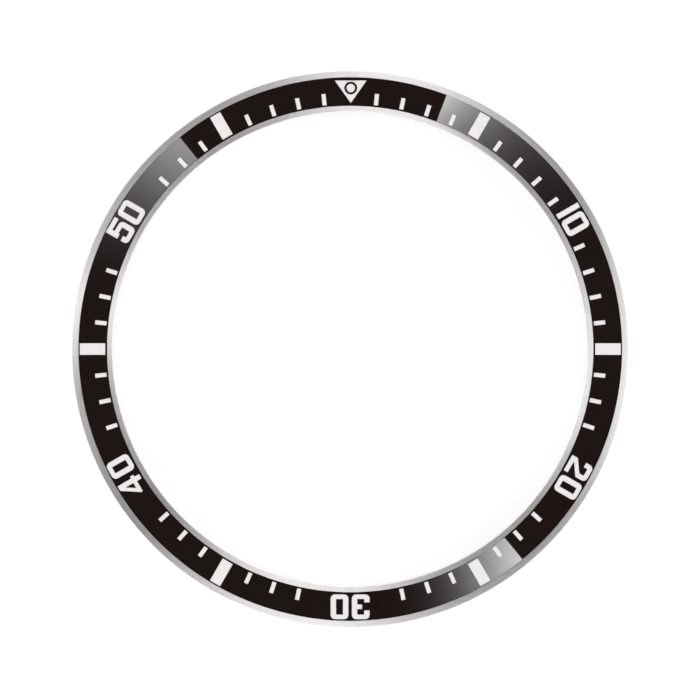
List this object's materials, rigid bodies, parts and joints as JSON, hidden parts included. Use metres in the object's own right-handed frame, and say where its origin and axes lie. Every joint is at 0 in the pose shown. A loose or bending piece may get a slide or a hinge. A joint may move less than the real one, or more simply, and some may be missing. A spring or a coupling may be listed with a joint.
{
  "type": "smartwatch bezel bumper ring",
  "caption": "Stick-on bumper ring for a round smartwatch bezel: turned steel ring with a skirt, glossy black minute-scale insert with white inlaid marks, adhesive tape and a lift-off liner.",
  "frame": {"origin": "on the ring's axis, in the plane of the skirt's foot that it rests on", "axes": "+Z out of the scale's face towards the wearer's eye, +Y towards the zero triangle, +X towards the bar at fifteen"},
  "size_m": [0.046, 0.046, 0.003],
  "materials": {
    "turned_steel": "fine concentric turning, satin",
    "gloss_black": "gloss black lacquer",
    "white_enamel": "satin enamel fill",
    "adhesive_foam": "matte foam",
    "liner_film": "waxed"
  },
  "bodies": {
    "ring": {"ring_body": "turned_steel", "scale_insert": "gloss_black", "insert_tape": "adhesive_foam", "mounting_tape": "adhesive_foam", "zero_triangle": "white_enamel", "pip_cup": "gloss_black", "lume_pip": "white_enamel", "bar_05": "white_enamel", "bar_15": "white_enamel", "bar_25": "white_enamel", "bar_35": "white_enamel", "bar_45": "white_enamel", "bar_55": "white_enamel", "numeral_10": "white_enamel", "numeral_20": "white_enamel", "numeral_30": "white_enamel", "numeral_40": "white_enamel", "numeral_50": "white_enamel", "minute_ticks": "white_enamel"},
    "liner": {"release_liner": "liner_film"}
  },
  "joints": [
    {"name": "liner_lift", "type": "slide", "parent": "ring", "child": "liner", "axis": [0, 0, -1], "range_m": [0, 0.006]}
  ]
}
